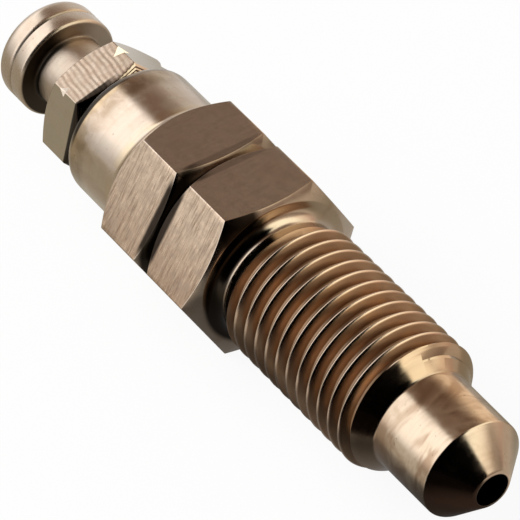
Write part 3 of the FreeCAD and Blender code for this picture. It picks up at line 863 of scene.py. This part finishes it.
def build_hose_nipple(turned, ribbed):
    theta = SMALL_THETA
    shell = Shell("hose_nipple_skin", theta)
    edge = hex_radius(theta, SMALL_FLAT, SMALL_TURN, SMALL_ROUND)
    floor = GROOVE_RADIUS - GROOVE_LEAN * np.cos(np.radians(theta - GROOVE_LEAN_TURN))
    depth = np.maximum(edge - floor, 0.0)
    swell = np.sin(np.radians(theta - GROOVE_SWELL_TURN)) ** 2
    rear_wall = GROOVE_REAR_WALL + GROOVE_REAR_SWELL * swell
    groove_front = GROOVE + GROOVE_FRONT_WALL * depth
    groove_rear = GROOVE - rear_wall * depth

    def side(x):
        """Radius of the hexagon with its ribs at a station."""
        return edge - rib_depth(theta, x)

    def run(start, end, count):
        """Rows of points between two stations, to follow the ribs."""
        shares = np.linspace(0.0, 1.0, count + 2)[1:-1]
        stations = [start + (end - start) * share for share in shares]
        return [(x, side(x), 0, 0, RIBBED) for x in stations]

    def steps():
        """Small turned steps round the front chamfer."""
        rise = side(SMALL_FRONT) - SMALL_FRONT_RADIUS
        shares = np.linspace(*STEP_SHARES, STEP_COUNT + 1)
        rows = []
        for here, after in zip(shares[:-1], shares[1:]):
            low = (1.0 - STEP_LOW) * here + STEP_LOW * after
            high = (1.0 - STEP_HIGH) * here + STEP_HIGH * after
            rows.append((SMALL_FRONT - rise * here * SMALL_CHAMFER, SMALL_FRONT_RADIUS + rise * low))
            rows.append((SMALL_FRONT - rise * high * SMALL_CHAMFER, SMALL_FRONT_RADIUS + rise * after))
        return rows

    front_edge = SMALL_FRONT - (side(SMALL_FRONT) - SMALL_FRONT_RADIUS) * SMALL_CHAMFER
    rear_edge = SMALL_REAR + (side(SMALL_REAR) - SMALL_REAR_RADIUS) * SMALL_CHAMFER
    points = [
        # stub in the collar
        (STUB_END, STUB_BORE_RADIUS),
        (STUB_END, 2.65),
        (-12.0, STUB_RADIUS),
        (SMALL_FRONT, STUB_RADIUS),
        # small hexagon with its groove
        (SMALL_FRONT, SMALL_FRONT_RADIUS, 0.03, 1),
        *steps(),
        (front_edge, side(SMALL_FRONT), 0.03, 1, RIBBED),
        *run(front_edge, groove_front, ROWS_BEFORE_GROOVE),
        (groove_front, side(GROOVE)),
        (GROOVE, np.minimum(edge, floor) - rib_depth(theta, GROOVE)),
        (groove_rear, side(GROOVE), 0, 0, RIBBED),
        *run(groove_rear, rear_edge, ROWS_BEHIND_GROOVE),
        (rear_edge, side(SMALL_REAR), 0.03, 1),
        (SMALL_REAR, SMALL_REAR_RADIUS, 0.05, 2),
        # neck
        (SMALL_REAR, NECK_RADIUS, 0.12, 3),
        (NECK_END, NECK_RADIUS, 0.20, 4),
        # two flanges with a groove between them
        (NECK_END, 3.40, 0.06, 2),
        (-22.22, FLANGE_RADIUS, 0.10, 3),
        (-23.17, FLANGE_RADIUS, 0.04, 2),
        (-23.23, 3.42, 0.03, 2),
        (-23.43, FLANGE_RADIUS, 0.12, 3),
        (HEAD_END + 0.48, FLANGE_RADIUS, 0.34, 4),
        (HEAD_END, 3.08, 0.34, 4),
        # bore
        (HEAD_END, 1.3, 0.05, 2),
        (HEAD_END + 0.2, PASSAGE_RADIUS, 0.03, 2),
        (STUB_BORE_END, PASSAGE_RADIUS),
        (STUB_BORE_END, STUB_BORE_RADIUS),
    ]
    shell.lathe(points, closed=True)
    shell.finish("screw", "hose_nipple", ["hose_nipple"], [turned, ribbed])


def build_check_spring():
    """Wire wound from the nipple's pocket to the ball."""
    low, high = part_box("check_spring")
    wire = SPRING_WIRE / 2 * MM
    points = []
    for i in range(SPRING_STEPS + 1):
        share = i / SPRING_STEPS
        x = (low[0] + wire) * (1 - share) + (high[0] - wire) * share
        angle = math.radians(SPRING_START_TURN + 360.0 * SPRING_TURNS * share)
        for k in range(WIRE_SIDES):
            around = 2 * math.pi * k / WIRE_SIDES
            r = SPRING_MEAN / 2 * MM + wire * math.cos(around)
            y = r * math.cos(angle)
            z = r * math.sin(angle) + AXIS_HEIGHT * MM
            points.append((x + wire * math.sin(around), y, z))
    last_ring = SPRING_STEPS * WIRE_SIDES
    faces = [tuple(range(WIRE_SIDES)), tuple(range(last_ring, last_ring + WIRE_SIDES))[::-1]]
    for i in range(SPRING_STEPS):
        for k in range(WIRE_SIDES):
            a = i * WIRE_SIDES + k
            b = i * WIRE_SIDES + (k + 1) % WIRE_SIDES
            faces.append((b, a, a + WIRE_SIDES, b + WIRE_SIDES))
    mesh = bpy.data.meshes.new("check_spring_wire")
    mesh.from_pydata(points, [], faces)
    for face in mesh.polygons:
        face.use_smooth = len(face.vertices) == 4
    mesh.materials.append(spring_steel())
    piece = bpy.data.objects.new("check_spring_wire", mesh)
    scene.collection.objects.link(piece)
    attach(piece, "screw")
    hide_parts("check_spring")
    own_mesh(piece)


# Camera, floor, world and lamp, in metres
CAMERA_PLACE = Vector((0.173916, -0.121600, 0.205649))
CAMERA_RIGHT = Vector((0.57007, 0.82157, 0.00469))
CAMERA_DOWN = Vector((0.56609, -0.38865, -0.72697))
CAMERA_LENS = 335.04
SENSOR_WIDTH = 36.0
CLIP_START = 0.01
CLIP_END = 10.0

# The tent's middle, on the valve's axis, which the lamp points at too
AIM = Vector((0.0, 0.0, 0.0055))

FLOOR_HALF = 3.0
FLOOR_COLOUR = (0.85, 0.85, 0.85, 1.0)
FLOOR_GLOW = 0.93
WORLD_LIGHT = 0.4
KEY_DIRECTION = Vector((-0.595, -0.42, 0.60))
KEY_DISTANCE = 0.6
KEY_SIZE = 0.5
KEY_POWER = 4.0

# Studio tent and painted floor reflection that only reflections see; the floor
# reflection is dark with painted shade near the valve. The tent's lowest and
# highest points are in degrees above the axis. The floor reflection's fine points
# are given as first, last and count.
TENT_RADIUS = 0.16
TENT_LOWEST = -2.0
TENT_HIGHEST = 89.9
TENT_POINTS_AROUND = 181
TENT_POINTS_UP = 61
FLOOR_REFLECTION_HALF = 0.165
FLOOR_REFLECTION_HEIGHT = 0.00005
FLOOR_REFLECTION_FINE_X = (-0.06, 0.03, 46)
FLOOR_REFLECTION_FINE_Y = (-0.07, 0.01, 41)

# Their colours, as red, green and blue light, and the levels of the softbox by
# height and of the painted floor shade beside the thread by station
WHITE = np.ones(3)
TENT_BLACK = 0.001 * WHITE
TENT_BROWN = np.array([0.35, 0.26, 0.21])
TENT_CREAM = np.array([1.6, 1.36, 1.1])
WARM_LOW = np.array([0.9, 0.69, 0.58])
WARM_MIDDLE = np.array([1.6, 1.38, 1.15])
WARM_HIGH = np.array([2.3, 2.35, 2.05])
SOFTBOX_TINT = np.array([0.97, 1.02, 1.10])
SOFTBOX_HEIGHTS = [-0.2, 0.0, 0.08, 0.24, 0.34, 0.45]
SOFTBOX_LEVELS = [0.75, 0.92, 1.15, 1.65, 2.3, 2.5]
FLOOR_REFLECTION_GREY = np.array([0.57, 0.54, 0.46])
FLOOR_REFLECTION_BEHIND = np.array([0.62, 0.60, 0.56])
FLOOR_REFLECTION_BEYOND_NEAR = np.array([0.42, 0.38, 0.30])
FLOOR_REFLECTION_BEYOND_FAR = np.array([0.82, 0.74, 0.62])
FLOOR_REFLECTION_TIP_DARK = 0.04 * WHITE
FLOOR_REFLECTION_TIP_LIGHT = np.array([0.95, 0.84, 0.74])
FLOOR_REFLECTION_TIP_TINT = np.array([1.9, 1.35, 1.15])
FLOOR_REFLECTION_CLOSE_STATIONS = [-0.004, 0.001, 0.010, 0.0125, 0.0145, 0.018, 0.022]
FLOOR_REFLECTION_CLOSE_LEVELS = [0.55, 0.20, 0.12, 0.40, 0.30, 0.10, 0.03]


def build_camera():
    camera_data = bpy.data.cameras.new("camera")
    camera_data.lens = CAMERA_LENS
    camera_data.sensor_width = SENSOR_WIDTH
    camera_data.clip_start = CLIP_START
    camera_data.clip_end = CLIP_END
    camera = bpy.data.objects.new("camera", camera_data)
    right = CAMERA_RIGHT.normalized()
    back = right.cross(-CAMERA_DOWN).normalized()
    up = back.cross(right).normalized()
    turn = Matrix((right, up, back)).transposed().to_4x4()
    camera.matrix_world = Matrix.Translation(CAMERA_PLACE) @ turn
    scene.collection.objects.link(camera)
    scene.camera = camera


def empty_tree(owner):
    """The node tree of a material or a world, with its nodes cleared away."""
    owner.use_nodes = True
    owner.node_tree.nodes.clear()
    return owner.node_tree


def white_for_view(tree):
    """Factor that is 1 for rays that show the background: camera, glossy, transmission."""
    path = tree.nodes.new("ShaderNodeLightPath")
    factor = path.outputs["Is Camera Ray"]
    for ray in ("Is Glossy Ray", "Is Transmission Ray"):
        larger = tree.nodes.new("ShaderNodeMath")
        larger.operation = "MAXIMUM"
        tree.links.new(factor, larger.inputs[0])
        tree.links.new(path.outputs[ray], larger.inputs[1])
        factor = larger.outputs[0]
    return factor


def show_mix(tree, factor, first, second, output_type):
    """Send a mix of two shaders to the tree's output."""
    mix = tree.nodes.new("ShaderNodeMixShader")
    tree.links.new(factor, mix.inputs[0])
    tree.links.new(first.outputs[0], mix.inputs[1])
    tree.links.new(second.outputs[0], mix.inputs[2])
    output = tree.nodes.new(output_type)
    tree.links.new(mix.outputs[0], output.inputs["Surface"])


def build_floor():
    """Pale floor that looks nearly white in the view and still takes a faint shadow."""
    mesh = bpy.data.meshes.new("floor")
    corners = [(-1, -1), (1, -1), (1, 1), (-1, 1)]
    mesh.from_pydata([(FLOOR_HALF * x, FLOOR_HALF * y, 0.0) for x, y in corners], [], [(0, 1, 2, 3)])
    floor = bpy.data.objects.new("floor", mesh)
    scene.collection.objects.link(floor)
    material = bpy.data.materials.new("floor")
    tree = empty_tree(material)
    diffuse = tree.nodes.new("ShaderNodeBsdfDiffuse")
    diffuse.inputs["Color"].default_value = FLOOR_COLOUR
    glow = tree.nodes.new("ShaderNodeEmission")
    factor = tree.nodes.new("ShaderNodeMath")
    factor.operation = "MULTIPLY"
    tree.links.new(white_for_view(tree), factor.inputs[0])
    factor.inputs[1].default_value = FLOOR_GLOW
    show_mix(tree, factor.outputs[0], diffuse, glow, "ShaderNodeOutputMaterial")
    mesh.materials.append(material)


def build_world():
    world = bpy.data.worlds.new("studio")
    scene.world = world
    tree = empty_tree(world)
    lights = []
    for strength in (WORLD_LIGHT, 1.0):
        light = tree.nodes.new("ShaderNodeBackground")
        light.inputs["Color"].default_value = (1.0, 1.0, 1.0, 1.0)
        light.inputs["Strength"].default_value = strength
        lights.append(light)
    show_mix(tree, white_for_view(tree), *lights, "ShaderNodeOutputWorld")


def ramp(value, low, high):
    """0 below low, 1 above high and a smooth rise between them."""
    t = np.clip((value - low) / (high - low), 0.0, 1.0)
    return t * t * (3.0 - 2.0 * t)


def blend(factor, first, second):
    """The colour between first, at factor 0, and second, at factor 1."""
    return first + (second - first) * factor[..., None]


def dimmed(colour, share):
    """The colour with a share of its light taken away."""
    return colour * (1.0 - share)[..., None]


def tent_glow(direction):
    """Colour of the studio in each direction, given as unit vectors from the valve."""
    x, y, z = np.moveaxis(direction, -1, 0)

    # Softbox behind the valve on the near side, brighter higher up
    height = z + 0.9 * np.maximum(-y - 0.74, 0.0)
    softbox = np.interp(height, SOFTBOX_HEIGHTS, SOFTBOX_LEVELS)[..., None] * SOFTBOX_TINT
    in_softbox = ramp(-y - 0.86 * (x + 0.6375) - 0.015, -0.05, 0.05)

    # Rear wall beside it, white and then cream below, and brown above
    furthest = blend(ramp(z, 0.22, 0.62), WHITE, TENT_BROWN)
    nearer = blend(ramp(z, 0.35, 0.82), TENT_CREAM, TENT_BROWN)
    rear = blend(ramp(x, -0.62, -0.50), furthest, nearer)
    rear = blend(in_softbox, rear, softbox)

    # Warm wall along the far side, dimmer low down in front of the tip
    warm = blend(ramp(z, 0.0, 0.35), WARM_LOW, WARM_MIDDLE)
    warm = blend(ramp(z, 0.30, 0.62), warm, WARM_HIGH)
    warm = dimmed(warm, 0.55 * ramp(x, 0.42, 0.62) * (1.0 - ramp(z, 0.30, 0.50)))

    # The rear gives way to black on the near side and to the warm wall on the far side
    near_side = blend(ramp(x, -0.25, 0.20), rear, TENT_BLACK)
    warm_start = -0.32 + 0.22 * ramp(z, 0.45, 0.85)
    far_side = blend(ramp(x, warm_start, warm_start + 0.3), rear, warm)
    far_start = 0.09 + 0.14 * ramp(z, 0.72, 0.88) * ramp(x, 0.08, 0.28)
    return blend(ramp(y, far_start, far_start + 0.08), near_side, far_side)


def floor_reflection_glow(place):
    """Colour of the painted floor reflection under the valve at each place on the floor, with painted
    shade near the valve.
    """
    x, y = place[..., 0], place[..., 1]
    at_tip = ramp(x, 0.020, 0.024)

    # Close to the thread and the tip on the near side
    close = np.interp(x, FLOOR_REFLECTION_CLOSE_STATIONS, FLOOR_REFLECTION_CLOSE_LEVELS)[..., None] * WHITE
    close = dimmed(close, 0.90 * at_tip * ramp(-y, 0.002, 0.015))
    close = close * blend(at_tip, WHITE, FLOOR_REFLECTION_TIP_TINT)

    # Further out on the near side
    near_side = blend(ramp(-y + 0.6 * x, 0.012, 0.030), FLOOR_REFLECTION_GREY, WHITE)
    near_side = dimmed(near_side, 0.60 * ramp(x, 0.006, 0.012) * ramp(-y, 0.024, 0.032))
    beside_thread = ramp(x, -0.004, 0.001) * (1.0 - ramp(-y, 0.009, 0.015))
    near_side = blend(np.maximum(beside_thread, ramp(x, 0.017, 0.022)), near_side, close)

    # Far side, with a dark patch that turns light beside the tip
    behind = blend(ramp(x, -0.034, -0.028), WHITE, FLOOR_REFLECTION_BEHIND)
    beyond = blend(ramp(y, 0.012, 0.030), FLOOR_REFLECTION_BEYOND_NEAR, FLOOR_REFLECTION_BEYOND_FAR)
    far_side = blend(ramp(x, 0.004, 0.010), behind, beyond)
    patch = blend(ramp(y, 0.002, 0.007), FLOOR_REFLECTION_TIP_DARK, FLOOR_REFLECTION_TIP_LIGHT)
    far_side = blend(at_tip * (1.0 - ramp(y, 0.008, 0.014)), far_side, patch)
    return blend(ramp(y, 0.0, 0.004), near_side, far_side)


def reflected_card(name, grid, glow, keep):
    """A surface that only reflections see, with a colour of light at each point."""
    rows, columns = grid.shape[:2]
    faces = []
    for i in range(rows - 1):
        for j in range(columns - 1):
            if keep[i, j]:
                a = i * columns + j
                faces.append((a, a + 1, a + columns + 1, a + columns))
    mesh = bpy.data.meshes.new(name)
    mesh.from_pydata(grid.reshape(-1, 3).tolist(), [], faces)
    colours = mesh.color_attributes.new("glow", "FLOAT_COLOR", "POINT")
    values = np.ones((rows * columns, 4), np.float32)
    values[:, :3] = glow.reshape(-1, 3)
    colours.data.foreach_set("color", values.ravel())
    card = bpy.data.objects.new(name, mesh)
    scene.collection.objects.link(card)
    material = bpy.data.materials.new(name)
    tree = empty_tree(material)
    attribute = tree.nodes.new("ShaderNodeAttribute")
    attribute.attribute_name = "glow"
    light = tree.nodes.new("ShaderNodeEmission")
    tree.links.new(attribute.outputs["Color"], light.inputs["Color"])
    output = tree.nodes.new("ShaderNodeOutputMaterial")
    tree.links.new(light.outputs[0], output.inputs["Surface"])
    material.cycles.emission_sampling = "NONE"
    mesh.materials.append(material)
    card.visible_camera = False
    card.visible_diffuse = False
    card.visible_shadow = False
    card.visible_transmission = False


def build_tent():
    """Dome over the valve, open low down behind it on the far side."""
    around = np.radians(np.linspace(0.0, 360.0, TENT_POINTS_AROUND))
    above = np.radians(np.linspace(TENT_LOWEST, TENT_HIGHEST, TENT_POINTS_UP))
    a, e = np.meshgrid(around, above)
    direction = np.stack([np.cos(e) * np.cos(a), np.cos(e) * np.sin(a), np.sin(e)], 2)
    x, y, z = np.moveaxis(direction, -1, 0)
    opening = (y > 0.3) & (z < 0.20) & (x < -0.55)
    reflected_card("light_tent", direction * TENT_RADIUS + np.array(AIM), tent_glow(direction), ~opening)


def build_floor_reflection():
    """Painted floor reflection just above the floor, dark with painted shade near the valve, with a fine
    grid of points near the valve.
    """
    xs = np.concatenate([[-FLOOR_REFLECTION_HALF], np.linspace(*FLOOR_REFLECTION_FINE_X), [FLOOR_REFLECTION_HALF]])
    ys = np.concatenate([[-FLOOR_REFLECTION_HALF], np.linspace(*FLOOR_REFLECTION_FINE_Y), [FLOOR_REFLECTION_HALF]])
    x, y = np.meshgrid(xs, ys)
    place = np.stack([x, y, np.full(x.shape, FLOOR_REFLECTION_HEIGHT)], 2)
    reflected_card("painted_floor_shade", place, floor_reflection_glow(place), np.full(x.shape, True))


def build_key_lamp():
    """Large soft lamp that lights the valve and casts the floor's faint shadow."""
    direction = KEY_DIRECTION.normalized()
    lamp_data = bpy.data.lights.new("key", "AREA")
    lamp_data.size = KEY_SIZE
    lamp_data.energy = KEY_POWER
    lamp = bpy.data.objects.new("key", lamp_data)
    scene.collection.objects.link(lamp)
    lamp.rotation_mode = "QUATERNION"
    lamp.rotation_quaternion = direction.to_track_quat("Z", "Y")
    lamp.location = AIM + direction * KEY_DISTANCE
    lamp.visible_glossy = False


# The scene
turned_nickel = turned_metal()
drawn_flats = flat_metal()
rolled_thread = thread_metal()
ribbed_nickel = ribbed_metal()
dress("stem_o_ring", rubber())
dress("check_ball", ball_steel())
dress("nipple_seal", seal_plastic())

build_valve_body(turned_nickel, drawn_flats, rolled_thread)
build_bleed_screw(turned_nickel, drawn_flats)
build_hose_nipple(turned_nickel, ribbed_nickel)
build_check_spring()

build_camera()
build_floor()
build_world()
build_tent()
build_floor_reflection()
build_key_lamp()

scene.view_settings.view_transform = "Standard"
